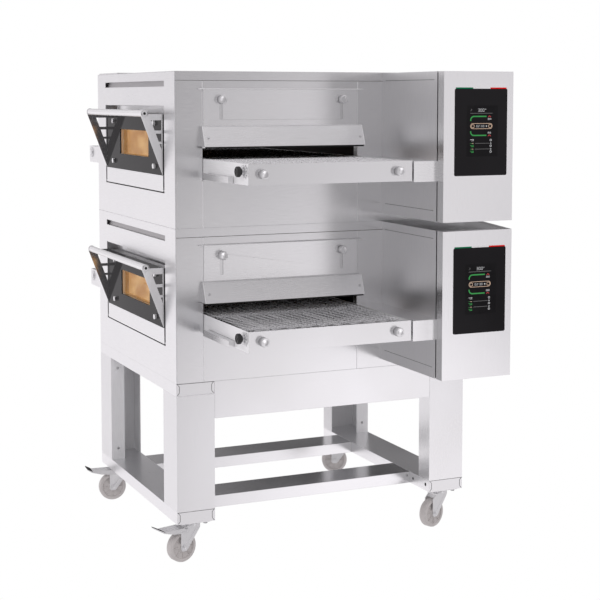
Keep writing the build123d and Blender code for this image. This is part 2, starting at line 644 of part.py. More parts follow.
    # Belt shafts with their sprocket discs, and the hand knob on the front shaft.
    with BuildPart() as drive_shaft:
        rod_x(88, 697.5, belt_axis_front, t + belt_axis_z, shaft_radius)
        for x in sprocket_x:
            rod_x(x - 4, x + 4, belt_axis_front, t + belt_axis_z, sprocket_radius)
    save(drive_shaft, f"{deck}_drive_shaft")

    with BuildPart() as idler_shaft:
        rod_x(89, 649, belt_axis_rear, t + belt_axis_z, shaft_radius)
        for x in sprocket_x:
            rod_x(x - 4, x + 4, belt_axis_rear, t + belt_axis_z, sprocket_radius)
    save(idler_shaft, f"{deck}_idler_shaft")

    with BuildPart() as shaft_knob:
        rod_x(68, 88, belt_axis_front, t + belt_axis_z, 16.0)
        fillet(shaft_knob.edges().filter_by(GeomType.CIRCLE), radius=3.0)
    save(shaft_knob, f"{deck}_shaft_knob")

    # Crumb tray under the front of the belt, drawn out to the door side.
    with BuildPart() as crumb_tray:
        y0, y1 = tray_y
        block(77, 94.5, y0, y1, t - 342, t - 322)
        block(78.5, 93, y0 + 1.5, y1 - 1.5, t - 343, t - 323.5, mode=Mode.SUBTRACT)
        block(94, 640, y0 + 1, y1 - 1, t - 341, t - 331)
        block(96, 638.5, y0 + 2.5, y1 - 2.5, t - 339.5, t - 330, mode=Mode.SUBTRACT)
    save(crumb_tray, f"{deck}_crumb_tray")

# Door hinge pins, standing in the side walls of the door recesses.
with BuildPart() as door_hinge_pins:
    for t in deck_tops.values():
        rod_y(recess_y[0], door_y[0] + 13, door_axis_x, t + door_axis_z, door_pin_radius)
        rod_y(door_y[1] - 13, recess_y[1], door_axis_x, t + door_axis_z, door_pin_radius)
save(door_hinge_pins, "door_hinge_pins")
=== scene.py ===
import bmesh
import bpy
import json
import math
from mathutils import Matrix, Vector

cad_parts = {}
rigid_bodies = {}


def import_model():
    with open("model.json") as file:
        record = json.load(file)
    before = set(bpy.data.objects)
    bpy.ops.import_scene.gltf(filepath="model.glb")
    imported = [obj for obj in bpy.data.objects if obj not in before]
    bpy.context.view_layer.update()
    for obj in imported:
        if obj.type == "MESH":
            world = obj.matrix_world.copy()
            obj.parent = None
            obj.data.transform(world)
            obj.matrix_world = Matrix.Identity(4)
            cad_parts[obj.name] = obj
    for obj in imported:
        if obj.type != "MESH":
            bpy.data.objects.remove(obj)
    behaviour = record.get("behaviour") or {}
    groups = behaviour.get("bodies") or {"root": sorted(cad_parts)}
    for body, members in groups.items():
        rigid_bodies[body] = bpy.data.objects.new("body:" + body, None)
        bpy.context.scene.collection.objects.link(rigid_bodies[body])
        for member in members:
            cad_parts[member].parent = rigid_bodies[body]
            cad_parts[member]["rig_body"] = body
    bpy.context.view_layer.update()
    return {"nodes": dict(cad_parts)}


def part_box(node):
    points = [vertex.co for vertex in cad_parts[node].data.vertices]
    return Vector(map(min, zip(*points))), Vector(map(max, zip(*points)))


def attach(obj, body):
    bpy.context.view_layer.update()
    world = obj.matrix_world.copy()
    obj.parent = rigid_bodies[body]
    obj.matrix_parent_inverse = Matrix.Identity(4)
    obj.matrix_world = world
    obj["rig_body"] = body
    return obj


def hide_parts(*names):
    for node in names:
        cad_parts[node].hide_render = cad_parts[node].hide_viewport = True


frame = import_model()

nodes = frame["nodes"]
scene = bpy.context.scene
scene.view_settings.view_transform = "Standard"
scene.view_settings.look = "None"

# ------------------------------------------------------------------ datum points, read from the frame
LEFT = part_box("top_panels")[0].x
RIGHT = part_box("top_panels")[1].x
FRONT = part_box("front_panels")[0].y
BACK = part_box("back_panels")[1].y
DECKS = ("upper", "lower")
TOP = {d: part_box(f"{d}_touch_panel")[1].z + 0.056 for d in DECKS}


def P(x, y, z, t=0.0):
    """Millimetres from the left face, the front face, and the deck top t (metres)."""
    return Vector((LEFT + x / 1000, FRONT + y / 1000, t + z / 1000))


# ------------------------------------------------------------------ camera
cam_data = bpy.data.cameras.new("camera")
cam = bpy.data.objects.new("camera", cam_data)
scene.collection.objects.link(cam)
cam.location = (-1.9394, -4.6707, 1.5121)
cam.rotation_euler = (math.radians(90 - 4.604), 0.0, math.radians(-24.107))
cam_data.sensor_width = 36.0
cam_data.lens = 84.018
cam_data.shift_y = -0.15
cam_data.clip_end = 60.0
scene.camera = cam


# ------------------------------------------------------------------ node helpers
def new_material(name):
    m = bpy.data.materials.new(name)
    m.use_nodes = True
    nt = m.node_tree
    bsdf = nt.nodes["Principled BSDF"]
    return m, nt, bsdf


def add(nt, kind, **props):
    n = nt.nodes.new(kind)
    for k, v in props.items():
        setattr(n, k, v)
    return n


def noise(nt, scale, size=(1, 1, 1), detail=3.0, rough=0.55, offset=(0, 0, 0)):
    tc = add(nt, "ShaderNodeTexCoord")
    mp = add(nt, "ShaderNodeMapping")
    mp.inputs["Scale"].default_value = size
    mp.inputs["Location"].default_value = offset
    nt.links.new(tc.outputs["Object"], mp.inputs["Vector"])
    nz = add(nt, "ShaderNodeTexNoise")
    nz.inputs["Scale"].default_value = scale
    nz.inputs["Detail"].default_value = detail
    nz.inputs["Roughness"].default_value = rough
    nt.links.new(mp.outputs["Vector"], nz.inputs["Vector"])
    return nz.outputs["Fac"]


def ramp(nt, fac, stops):
    r = add(nt, "ShaderNodeValToRGB")
    els = r.color_ramp.elements
    while len(els) > 1:
        els.remove(els[-1])
    els[0].position, els[0].color = stops[0][0], (*stops[0][1], 1)
    for pos, col in stops[1:]:
        e = els.new(pos)
        e.color = (*col, 1)
    nt.links.new(fac, r.inputs["Fac"])
    return r.outputs["Color"]


def span(nt, fac, lo, hi):
    m = add(nt, "ShaderNodeMapRange")
    m.inputs["From Min"].default_value = 0.25
    m.inputs["From Max"].default_value = 0.75
    m.inputs["To Min"].default_value = lo
    m.inputs["To Max"].default_value = hi
    nt.links.new(fac, m.inputs["Value"])
    return m.outputs["Result"]


def blend_colours(nt, fac, a, b, mode="MIX"):
    m = add(nt, "ShaderNodeMix", data_type="RGBA", blend_type=mode)
    for sock, v in (("Factor_Float", fac), ("A_Color", a), ("B_Color", b)):
        s = next(i for i in m.inputs if i.identifier == sock)
        if hasattr(v, "is_output"):
            nt.links.new(v, s)
        elif isinstance(v, (tuple, list)):
            s.default_value = (*v, 1)
        else:
            s.default_value = v
    return next(o for o in m.outputs if o.identifier == "Result_Color")


def bump(nt, bsdf, height, strength, distance=0.001, chain=None):
    b = add(nt, "ShaderNodeBump")
    b.inputs["Strength"].default_value = strength
    b.inputs["Distance"].default_value = distance
    nt.links.new(height, b.inputs["Height"])
    if chain is not None:
        nt.links.new(chain, b.inputs["Normal"])
    nt.links.new(b.outputs["Normal"], bsdf.inputs["Normal"])
    return b.outputs["Normal"]


GRAIN = {"x": (1.5, 60, 60), "y": (60, 1.5, 60), "z": (60, 60, 1.5)}


def brushed(name, base=(0.80, 0.80, 0.81), rough=(0.26, 0.36), grain="x", fine=14.0, depth=0.05, metal=1.0):
    """Brushed stainless sheet: long fine scratches along one axis, faint cloudy variation and slightly uneven gloss."""
    m, nt, bsdf = new_material(name)
    bsdf.inputs["Metallic"].default_value = metal
    scratches = noise(nt, fine, GRAIN[grain], 4.0, 0.65)
    clouds = noise(nt, 3.2, (1, 1, 1), 2.0, 0.5, (3.1, 1.7, 0.4))
    dark = tuple(c * 0.93 for c in base)
    light = tuple(min(1.0, c * 1.04) for c in base)
    streaks = ramp(nt, scratches, [(0.30, dark), (0.55, base), (0.75, light)])
    veil = ramp(nt, clouds, [(0.25, (0.955, 0.957, 0.965)), (0.75, (1.0, 1.0, 1.0))])
    nt.links.new(blend_colours(nt, 1.0, streaks, veil, "MULTIPLY"), bsdf.inputs["Base Color"])
    mixed = add(nt, "ShaderNodeMath", operation="MULTIPLY_ADD")
    mixed.inputs[1].default_value = 0.5
    nt.links.new(scratches, mixed.inputs[0])
    half = add(nt, "ShaderNodeMath", operation="MULTIPLY")
    half.inputs[1].default_value = 0.5
    nt.links.new(clouds, half.inputs[0])
    nt.links.new(half.outputs[0], mixed.inputs[2])
    nt.links.new(span(nt, mixed.outputs[0], *rough), bsdf.inputs["Roughness"])
    bump(nt, bsdf, scratches, depth, 0.0004)
    return m


def polished(name, base=(0.82, 0.82, 0.83), rough=(0.12, 0.22)):
    """Turned or polished steel with faint smears."""
    m, nt, bsdf = new_material(name)
    bsdf.inputs["Metallic"].default_value = 1.0
    n1 = noise(nt, 60.0, (1, 1, 1), 3.0, 0.6)
    nt.links.new(ramp(nt, n1, [(0.3, tuple(c * 0.94 for c in base)), (0.7, base)]), bsdf.inputs["Base Color"])
    nt.links.new(span(nt, n1, *rough), bsdf.inputs["Roughness"])
    bump(nt, bsdf, noise(nt, 220.0, (1, 1, 1), 2.0), 0.03, 0.0002)
    return m


def moulded(name, base, rough=(0.45, 0.6), grain_scale=900.0, depth=0.15, spec=0.5, variation=0.85):
    """Moulded plastic or enamel with a fine grain."""
    m, nt, bsdf = new_material(name)
    bsdf.inputs["Specular IOR Level"].default_value = spec
    n1 = noise(nt, 25.0, (1, 1, 1), 3.0, 0.6)
    nt.links.new(ramp(nt, n1, [(0.3, tuple(c * variation for c in base)), (0.7, base)]), bsdf.inputs["Base Color"])
    nt.links.new(span(nt, n1, *rough), bsdf.inputs["Roughness"])
    bump(nt, bsdf, noise(nt, grain_scale, (1, 1, 1), 2.0), depth, 0.0002)
    return m


def glowing(name, colour, strength, base=(0.01, 0.01, 0.012)):
    """Lit pixels behind glass, slightly uneven like a backlight."""
    m, nt, bsdf = new_material(name)
    bsdf.inputs["Base Color"].default_value = (*base, 1)
    bsdf.inputs["Roughness"].default_value = 0.25
    n1 = noise(nt, 90.0, (1, 1, 1), 2.0)
    nt.links.new(ramp(nt, n1, [(0.25, tuple(c * 0.85 for c in colour)), (0.75, colour)]), bsdf.inputs["Emission Color"])
    bsdf.inputs["Emission Strength"].default_value = strength
    return m


M = {
    "front": brushed("steel_front", (0.78, 0.78, 0.785), (0.17, 0.27), "x"),
    "side": brushed("steel_side", (0.87, 0.87, 0.875), (0.26, 0.36), "y"),
    "post": brushed("steel_post", (0.80, 0.80, 0.805), (0.20, 0.30), "z"),
    "hood": brushed("steel_hood", (0.88, 0.88, 0.885), (0.20, 0.30), "x"),
    "box": brushed("steel_box", (0.85, 0.85, 0.855), (0.28, 0.38), "z"),
    # the back posts' copy of the post steel, lighter and less metallic: painted light on the back posts
    "post_back_painted_lighter": brushed("steel_post_back", (0.92, 0.92, 0.925), (0.40, 0.50), "z", metal=0.15),
    "cover": brushed("steel_cover", (0.86, 0.86, 0.865), (0.17, 0.27), "z"),
    "frame": brushed("steel_conveyor", (0.79, 0.79, 0.795), (0.18, 0.28), "y"),
    # a lighter, less metallic copy of the conveyor frame steel: painted light on the faces turned to the sides
    "frame_side_painted_lighter": brushed("steel_conveyor_side_painted_lighter", (0.93, 0.93, 0.935), (0.28, 0.38), "y", metal=0.35),
    # handle steel, near-white and half-metallic: painted light that makes the tube and near arm read bright
    "handle": brushed("steel_handle_painted_bright", (0.93, 0.93, 0.935), (0.20, 0.30), "z", metal=0.5),
    # near-white, low-metal steel for seams and rolled edges: a painted highlight along them
    "bead": brushed("painted_highlight_edge", (0.96, 0.96, 0.965), (0.25, 0.35), "x", metal=0.25),
    "bright": polished("steel_polished"),
    # steel for the door recess's ceiling and vent strip, darkened as painted shade inside the recess
    "baffle": brushed("steel_recess_painted_shade", (0.50, 0.49, 0.495), (0.35, 0.5), "y"),
    "screw": polished("steel_screw", (0.70, 0.70, 0.71), (0.2, 0.32)),
    "zinc": brushed("zinc_plate", (0.90, 0.90, 0.905), (0.24, 0.36), "z", 24.0, 0.08, 0.8),
    "wire": polished("belt_wire", (0.86, 0.86, 0.87), (0.22, 0.34)),
    "tinted": brushed("heat_tinted_steel", (0.030, 0.025, 0.023), (0.5, 0.65), "y", 20.0, 0.1, 0.8),
    "rod": brushed("element_sheath", (0.13, 0.11, 0.10), (0.45, 0.6), "x", 30.0, 0.15, 0.8),
    "wool": moulded("mineral_wool", (0.50, 0.44, 0.30), (0.85, 0.95), 260.0, 1.0, 0.1, 0.7),
    "black": moulded("black_moulding", (0.018, 0.018, 0.019), (0.38, 0.52)),
    "rubber": moulded("gasket_rubber", (0.02, 0.02, 0.02), (0.7, 0.85), 500.0, 0.3, 0.3),
    "wheel": moulded("grey_polyamide", (0.63, 0.60, 0.585), (0.42, 0.55), 700.0, 0.12, 0.5, 0.92),
    "enamel": moulded("motor_enamel", (0.30, 0.33, 0.35), (0.35, 0.5), 500.0, 0.1),
    "plate": brushed("galvanised_plate", (0.82, 0.82, 0.825), (0.34, 0.46), "z", 8.0, 0.1, 0.8),
    # near-black, for joints and grooves, and as painted shade in holes and hollows
    "dark": moulded("dark_gap", (0.02, 0.02, 0.021), (0.7, 0.8), 300.0, 0.1, 0.2),
}


# ------------------------------------------------------------------ mesh helpers
def make(name, bm, material, body="oven_frame", smooth=True, angle=35.0):
    me = bpy.data.meshes.new(name)
    bmesh.ops.recalc_face_normals(bm, faces=bm.faces)
    bm.to_mesh(me)
    bm.free()
    o = bpy.data.objects.new(name, me)
    scene.collection.objects.link(o)
    for m in material if isinstance(material, (list, tuple)) else [material]:
        me.materials.append(m)
    if smooth:
        for p in me.polygons:
            p.use_smooth = True
        me.set_sharp_from_angle(angle=math.radians(angle))
    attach(o, body)
    return o


def bevelled(o, width, segments=2, angle=40.0):
    b = o.modifiers.new("edge", "BEVEL")
    b.width = width
    b.segments = segments
    b.limit_method = "ANGLE"
    b.angle_limit = math.radians(angle)
    b.harden_normals = True
    b.use_clamp_overlap = True
    return o


def cuboid(bm, lo, hi, mat=0):
    lo, hi = Vector(lo), Vector(hi)
    v = [bm.verts.new((x, y, z)) for x in (lo.x, hi.x) for y in (lo.y, hi.y) for z in (lo.z, hi.z)]
    for f in ((0, 1, 3, 2), (4, 6, 7, 5), (0, 4, 5, 1), (2, 3, 7, 6), (0, 2, 6, 4), (1, 5, 7, 3)):
        face = bm.faces.new([v[i] for i in f])
        face.material_index = mat
    return v


def basis(axis):
    a = Vector(axis).normalized()
    u = a.orthogonal().normalized()
    return a, u, a.cross(u)


def lathe(bm, centre, axis, prof, n=48, mat=0, wobble=None):
    """Revolve (distance along axis, radius) pairs about an axis through centre; ends with radius 0 close."""
    a, u, w = basis(axis)
    rings = []
    for k, (d, r) in enumerate(prof):
        if r <= 1e-9:
            rings.append([bm.verts.new(Vector(centre) + a * d)])
            continue
        ring = []
        for i in range(n):
            t = 2 * math.pi * i / n
            rr = r if wobble is None else r + wobble(k, t)
            ring.append(bm.verts.new(Vector(centre) + a * d + (u * math.cos(t) + w * math.sin(t)) * rr))
        rings.append(ring)
    for r0, r1 in zip(rings, rings[1:]):
        if len(r0) == 1 and len(r1) == 1:
            continue
        for i in range(n):
            j = (i + 1) % n
            if len(r0) == 1:
                f = bm.faces.new((r0[0], r1[i], r1[j]))
            elif len(r1) == 1:
                f = bm.faces.new((r0[i], r1[0], r0[j]))
            else:
                f = bm.faces.new((r0[i], r1[i], r1[j], r0[j]))
            f.material_index = mat


def tube(bm, pts, r, n=6, mat=0, closed_ends=True):
    """A round wire along points, with mitred corners."""
    pts = [Vector(p) for p in pts]
    rings = []
    prev_u = None
    for i, p in enumerate(pts):
        d0 = (p - pts[i - 1]).normalized() if i else None
        d1 = (pts[i + 1] - p).normalized() if i < len(pts) - 1 else None
        d = ((d0 or d1) + (d1 or d0)).normalized()
        u = (prev_u - d * prev_u.dot(d)) if prev_u is not None else d.orthogonal()
        if u.length < 1e-6:
            u = d.orthogonal()
        u.normalize()
        prev_u = u
        w = d.cross(u)
        k = 1.0
        if d0 is not None and d1 is not None:
            k = min(1.35, 1.0 / max(0.6, math.sqrt(max(0.0, (1 + d0.dot(d1)) / 2))))
        rings.append([bm.verts.new(p + (u * math.cos(2 * math.pi * j / n) + w * math.sin(2 * math.pi * j / n)) * r * k) for j in range(n)])
    for r0, r1 in zip(rings, rings[1:]):
        for j in range(n):
            f = bm.faces.new((r0[j], r0[(j + 1) % n], r1[(j + 1) % n], r1[j]))
            f.material_index = mat
    if closed_ends:
        bm.faces.new(list(reversed(rings[0]))).material_index = mat
        bm.faces.new(rings[-1]).material_index = mat


def refined(node, material, width=0.0006, segments=2, name=None, angle=40.0, second=None, merge=True):
    """The CAD node's own shape with its sheet edges softly rounded, standing in for the node; with merge off it is
    flat-shaded instead, with sharp edges.
    """
    src = nodes[node]
    bm = bmesh.new()
    bm.from_mesh(src.data)
    bmesh.ops.remove_doubles(bm, verts=bm.verts, dist=1e-6)
    if merge:
        bmesh.ops.dissolve_limit(bm, angle_limit=math.radians(1.0), use_dissolve_boundaries=False, verts=bm.verts, edges=bm.edges, delimit=set())
    bmesh.ops.triangulate(bm, faces=[f for f in bm.faces if len(f.verts) > 40])
    bm.normal_update()
    for f in bm.faces:
        # a second material, when given, goes on the faces that the test picks
        f.material_index = 1 if second and second(f) else 0
    body = src["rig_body"]
    o = make(name or f"{node}_shown", bm, material, body, angle=30.0)
    if merge:
        bevelled(o, width, segments, angle)
    else:
        for p in o.data.polygons:
            p.use_smooth = False
    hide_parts(node)
    return o


def dress(node, material):
    """A CAD node that stays, with its material."""
    me = nodes[node].data
    for i in range(max(1, len(me.materials))):
        if i < len(me.materials):
            me.materials[i] = material
        else:
            me.materials.append(material)
    return nodes[node]


def smooth_cad(node):
    me = nodes[node].data
    for p in me.polygons:
        p.use_smooth = True


# ------------------------------------------------------------------ world and lights
world = bpy.data.worlds.new("studio")
scene.world = world
world.use_nodes = True
wnt = world.node_tree
wnt.nodes.clear()
w_out = wnt.nodes.new("ShaderNodeOutputWorld")
w_dir = wnt.nodes.new("ShaderNodeTexCoord").outputs["Generated"]


def lobe(direction, inner, outer, amount):
    """Radiance added inside a soft-edged cone of directions."""
    d = wnt.nodes.new("ShaderNodeVectorMath")
    d.operation = "DOT_PRODUCT"
    d.inputs[1].default_value = Vector(direction).normalized()
    wnt.links.new(w_dir, d.inputs[0])
    r = wnt.nodes.new("ShaderNodeMapRange")
    r.interpolation_type = "SMOOTHSTEP"
    r.inputs["From Min"].default_value = math.cos(math.radians(outer))
    r.inputs["From Max"].default_value = math.cos(math.radians(inner))
    r.inputs["To Min"].default_value = 0.0
    r.inputs["To Max"].default_value = amount
    wnt.links.new(d.outputs["Value"], r.inputs["Value"])
    return r.outputs["Result"]


def bearing(azimuth, elevation=0.0):
    """Azimuth in degrees from -Y towards +X."""
    a, e = math.radians(azimuth), math.radians(elevation)
    return (math.sin(a) * math.cos(e), -math.cos(a) * math.cos(e), math.sin(e))


LOBES = [
    (bearing(204, -7), 10, 42, 0.52),     # behind, to the left: what the door side mirrors
    (bearing(204, 8), 2, 13, -0.36),      # its darker upper band
    ((0, 0, 1), 20, 70, 0.42),            # bright ceiling
    (bearing(150, 16), 4, 16, -0.40),     # dark wall behind, to the right: what level tops mirror
    (bearing(31, 0.5), 2, 10, 0.50),        # narrow window right of the front
    (bearing(28, -18), 4, 12, 0.86),      # bright sweep below it
    (bearing(24, -10), 2, 8, 0.38),
    (bearing(270, 0), 15, 62, 0.30),
    (bearing(80, 10), 10, 50, 0.20),
    ((0, 0, -1), 30, 80, 0.30),
]
total = None
for spec in LOBES:
    v = lobe(*spec)
    if total is None:
        total = v
    else:
        s = wnt.nodes.new("ShaderNodeMath")
        s.operation = "ADD"
        wnt.links.new(total, s.inputs[0])
        wnt.links.new(v, s.inputs[1])
        total = s.outputs[0]
s = wnt.nodes.new("ShaderNodeMath")
s.operation = "ADD"
s.inputs[1].default_value = 0.46
wnt.links.new(total, s.inputs[0])
studio_bg = wnt.nodes.new("ShaderNodeBackground")
studio_bg.inputs["Color"].default_value = (1.0, 0.970, 0.998, 1)
wnt.links.new(s.outputs[0], studio_bg.inputs["Strength"])
white_bg = wnt.nodes.new("ShaderNodeBackground")
white_bg.inputs["Color"].default_value = (1, 1, 1, 1)
white_bg.inputs["Strength"].default_value = 1.0
seen = wnt.nodes.new("ShaderNodeLightPath")
pick = wnt.nodes.new("ShaderNodeMixShader")
wnt.links.new(seen.outputs["Is Camera Ray"], pick.inputs["Fac"])
wnt.links.new(studio_bg.outputs[0], pick.inputs[1])
wnt.links.new(white_bg.outputs[0], pick.inputs[2])
wnt.links.new(pick.outputs[0], w_out.inputs["Surface"])


def softbox(name, where, aim, size, power):
    d = bpy.data.lights.new(name, "AREA")
    d.shape = "RECTANGLE"
    d.size, d.size_y = size
    d.energy = power
    o = bpy.data.objects.new(name, d)
    scene.collection.objects.link(o)
    o.location = where
    o.rotation_euler = (Vector(aim) - Vector(where)).to_track_quat("-Z", "Y").to_euler()
    o.visible_glossy = False
    return o


softbox("key_light", (-2.6, -2.6, 3.2), (0, 0, 0.9), (2.0, 1.6), 26)
softbox("fill_light", (3.0, -3.2, 2.4), (0, 0, 0.9), (1.8, 2.4), 16)


# ------------------------------------------------------------------ sheet metal shells from the CAD, with broken edges
SHELLS = {
    "left_side_panels": ("side", 0.0005), "right_side_panels": ("side", 0.0005), "top_panels": ("front", 0.0006),
    "base_pans": ("front", 0.0005), "front_panels": ("front", 0.0006), "back_panels": ("front", 0.0005),
    "stand_posts": ("post", 0.0008), "stand_side_rails": ("side", 0.0008), "stand_aprons": ("front", 0.0008),
    "lower_crossbars": ("front", 0.0008), "castor_top_plates": ("zinc", 0.0006), "conveyor_frames": ("frame", 0.0005),
    "drive_covers": ("hood", 0.0005), "control_boxes": ("box", 0.0005),
}
for node, (mat, width) in SHELLS.items():
    if node == "conveyor_frames":
        # faces turned to the sides take the lighter copy, painted light by facing
        refined(node, [M["frame"], M["frame_side_painted_lighter"]], width, second=lambda f: abs(f.normal.x) > 0.7)
    elif node == "stand_posts":
        # faces of the back posts take the lighter copy: painted light by position, the same steel as the front posts
        refined(node, [M["post"], M["post_back_painted_lighter"]], width, second=lambda f: f.calc_center_median().y > 0.1, merge=False)
    else:
        refined(node, M[mat], width)
for d in DECKS:
    refined(f"{d}_door_panel", M["side"], 0.0005)
    # the far arm's side faces take the darker polished steel and the rest the brighter handle steel: lit and shaded
    # copies painted by position
    refined(f"{d}_door_handle", [M["handle"], M["bright"]], 0.0005, second=lambda f: abs(f.normal.y) > 0.7 and f.calc_center_median().y > 0.0)
    refined(f"{d}_front_shutter", M["hood"], 0.0005)
    refined(f"{d}_rear_shutter", M["hood"], 0.0005)
    refined(f"{d}_crumb_tray", M["frame"], 0.0004)
    refined(f"{d}_control_cover", M["cover"], 0.0006)
for c in ("front_left", "back_left", "front_right", "back_right"):
    refined(f"{c}_castor_fork", M["zinc"], 0.0007, 3)
for c in ("front_left", "back_left"):
    refined(f"{c}_brake_pedal", M["plate"], 0.0006)

for node, mat in {"chamber_liners": "tinted", "insulation_blocks": "wool", "heating_elements": "rod", "shaft_bearings": "screw",
                  "drive_motors": "enamel", "control_boards": "plate", "door_hinge_pins": "screw", "cable_glands": "black"}.items():
    dress(node, M[mat])
for d in DECKS:
    dress(f"{d}_drive_shaft", M["bright"])
    dress(f"{d}_idler_shaft", M["bright"])


# ------------------------------------------------------------------ wire belts
def belt_mesh():
    r_mid = 0.0228
    wire = 0.00115
    x0, x1 = 107.3 / 1000 + LEFT, 630.7 / 1000 + LEFT
    z_axis = -0.303
    ya, yb = FRONT - 0.346, FRONT + 1.291
    straight = yb - ya
    arc = math.pi * r_mid
    loop = 2 * straight + 2 * arc
    count = 268
    pitch = loop / count

    def on_loop(s, lift):
        s %= loop
        r = r_mid + lift
        if s < straight:
            return ya + s, z_axis + r
        s -= straight
        if s < arc:
            t = s / r_mid
            return yb + math.sin(t) * r, z_axis + math.cos(t) * r
        s -= arc
        if s < straight:
            return yb - s, z_axis - r
        t = (s - straight) / r_mid
        return ya - math.sin(t) * r, z_axis - math.cos(t) * r

    bays = 20
    step = (x1 - x0) / bays
    n = 5
    verts, faces = [], []
    for k in range(count):
        s0 = k * pitch
        pts = []
        for i in range(bays):
            far = i % 2 == (k % 2)
            s = s0 + (pitch * 0.62 if far else -pitch * 0.42)
            lift = 0.00035 if far else -0.00035
            a = x0 + i * step + (0.0011 if i else 0)
            b = x0 + (i + 1) * step - (0.0011 if i < bays - 1 else 0)
            pts.append((a, s, lift))
            pts.append((b, s, lift))
        cen = [Vector((x, *on_loop(s, l))) for x, s, l in pts]
        base = len(verts)
        for i, p in enumerate(cen):
            d = ((cen[i + 1] - p) if i < len(cen) - 1 else (p - cen[i - 1])).normalized()
            if 0 < i < len(cen) - 1:
                d = (d + (p - cen[i - 1]).normalized()).normalized()
            up = Vector((0, p.y - min(max(p.y, ya), yb), p.z - z_axis)).normalized()
            up = (up - d * up.dot(d)).normalized()
            w = d.cross(up)
            for j in range(n):
                t = 2 * math.pi * j / n
                verts.append(p + (up * math.cos(t) + w * math.sin(t)) * wire)
        for i in range(len(cen) - 1):
            for j in range(n):
                a, b = base + i * n + j, base + i * n + (j + 1) % n
                faces.append((a, b, b + n, a + n))
    me = bpy.data.meshes.new("wire_belt")
    me.from_pydata(verts, [], faces)
    for p in me.polygons:
        p.use_smooth = True
    return me


belt = belt_mesh()
belt.materials.append(M["wire"])
for d in DECKS:
    o = bpy.data.objects.new(f"{d}_wire_belt", belt)
    scene.collection.objects.link(o)
    o.location.z = TOP[d]
    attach(o, "oven_frame")
    if d == "upper":
        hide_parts("conveyor_belts")


# ------------------------------------------------------------------ knobs and screws
def knurl(depth, n, rows):
    return lambda k, t: (-depth if (k in rows and int(t / (2 * math.pi) * n + 0.001) % 2) else 0.0)


def clamp_knob(bm, at, out, radius=0.014, length=0.0221, collar=0.009, first=0.0029):
    """A turned clamp knob: a collar against the sheet, then a head with a finely grooved rim and a dished face."""
    h = first + length
    prof = [(first, 0.0), (first, collar), (first + 0.0019, collar), (first + 0.0022, radius - 0.0016), (first + 0.0034, radius - 0.0004),
            (first + 0.0038, radius), (h - 0.0024, radius), (h - 0.0014, radius - 0.0005), (h - 0.0004, radius - 0.0018), (h, radius - 0.0030),
            (h - 0.0005, radius - 0.0048), (h - 0.0005, 0.0)]
    n = 96
    lathe(bm, at, out, prof, n, wobble=lambda k, t: (-0.00035 if (k in (5, 6) and round(t / (2 * math.pi) * n) % 2) else 0.0))


for d in DECKS:
    for hand, x in (("left", 155.5), ("right", 584.0)):
        bm = bmesh.new()
        clamp_knob(bm, P(x, 0, -90, TOP[d]), (0, -1, 0))
        o = make(f"{d}_{hand}_shutter_knob_turned", bm, M["bright"], f"{d}_{hand}_shutter_knob")
        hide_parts(f"{d}_{hand}_shutter_knob")

bm = bmesh.new()
for d in DECKS:
    t = TOP[d]
    for x in (140.0, 593.0):
        clamp_knob(bm, P(x, -384, -310, t), (0, -1, 0), 0.0145, 0.0219, 0.009, 0.0)
        clamp_knob(bm, P(x, 1330, -310, t), (0, 1, 0), 0.0145, 0.0219, 0.009, 0.0)
    for x in (155.5, 584.0):
        clamp_knob(bm, P(x, 869, -90, t), (0, 1, 0))
        lathe(bm, P(x, 0, -90, t), (0, -1, 0), [(-0.008, 0), (-0.008, 0.004), (0.018, 0.004), (0.018, 0)], 24)
        lathe(bm, P(x, 0, -90, t), (0, 1, 0), [(0.002, 0.0041), (0.002, 0.0075), (0.006, 0.0075), (0.006, 0.0041)], 6)
        lathe(bm, P(x, 869, -90, t), (0, 1, 0), [(0.0, 0), (0.0, 0.004), (0.004, 0.004), (0.004, 0)], 24)
o = make("clamp_screws_turned", bm, M["bright"], "oven_frame")
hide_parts("clamp_screws")

for d in DECKS:
    # ribbed black hand knob on the front shaft
    bm = bmesh.new()
    at = P(88, -346, -303, TOP[d])
    n = 72
    lathe(bm, at, (-1, 0, 0), [(0, 0), (0, 0.0100), (0.004, 0.0100), (0.0045, 0.0148), (0.006, 0.0160), (0.0135, 0.0160), (0.0158, 0.0150), (0.0170, 0.0128),
                               (0.0166, 0.0100), (0.0150, 0.0090), (0.0148, 0.0040), (0.0162, 0.0036), (0.0166, 0.0)], n,
          wobble=lambda k, t: (-0.0011 if (k in (4, 5, 6) and (round(t / (2 * math.pi) * n) % 6) in (0, 1)) else 0.0))
    o = make(f"{d}_shaft_knob_ribbed", bm, M["black"], f"{d}_drive_shaft")
    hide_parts(f"{d}_shaft_knob")

    # pan-head screws: bearing brackets on both side plates, and hoods
    bm = bmesh.new()

    def pan_head(at, out, r=0.0032, h=0.0016, bm=bm):
        lathe(bm, at, out, [(0, r), (h * 0.45, r), (h * 0.85, r * 0.72), (h, r * 0.3), (h, 0)], 16)

    t = TOP[d]
    for y, z in ((-371.5, -291), (-371.5, -303), (-371.5, -315), (-365, -284.5), (-365, -321.5)):
        pan_head(P(95, y, z, t), (-1, 0, 0))
    for y, z in ((1316.5, -291), (1316.5, -303), (1316.5, -315)):
        pan_head(P(95, y, z, t), (-1, 0, 0))
        pan_head(P(643, y, z, t), (1, 0, 0))
    o = make(f"{d}_bracket_screws", bm, M["screw"], "oven_frame")
    for place, y_face, out in (("front", 0.0, -1.0), ("rear", 869.0, 1.0)):
        bm = bmesh.new()
        for x in (103.0, 640.0):
            y = y_face + out * (15 + 26 * (212 - 175) / 65)
            pan_head(P(x, y, -212, t), (0, out * 65, 26), 0.0033, 0.0017, bm)
            lathe(bm, P(x, y, -212, t), (0, out * 65, 26), [(0.0, 0.0052), (0.0004, 0.0052), (0.0004, 0.003)], 20)
        make(f"{d}_{place}_hood_screws", bm, M["screw"], f"{d}_{place}_shutter")
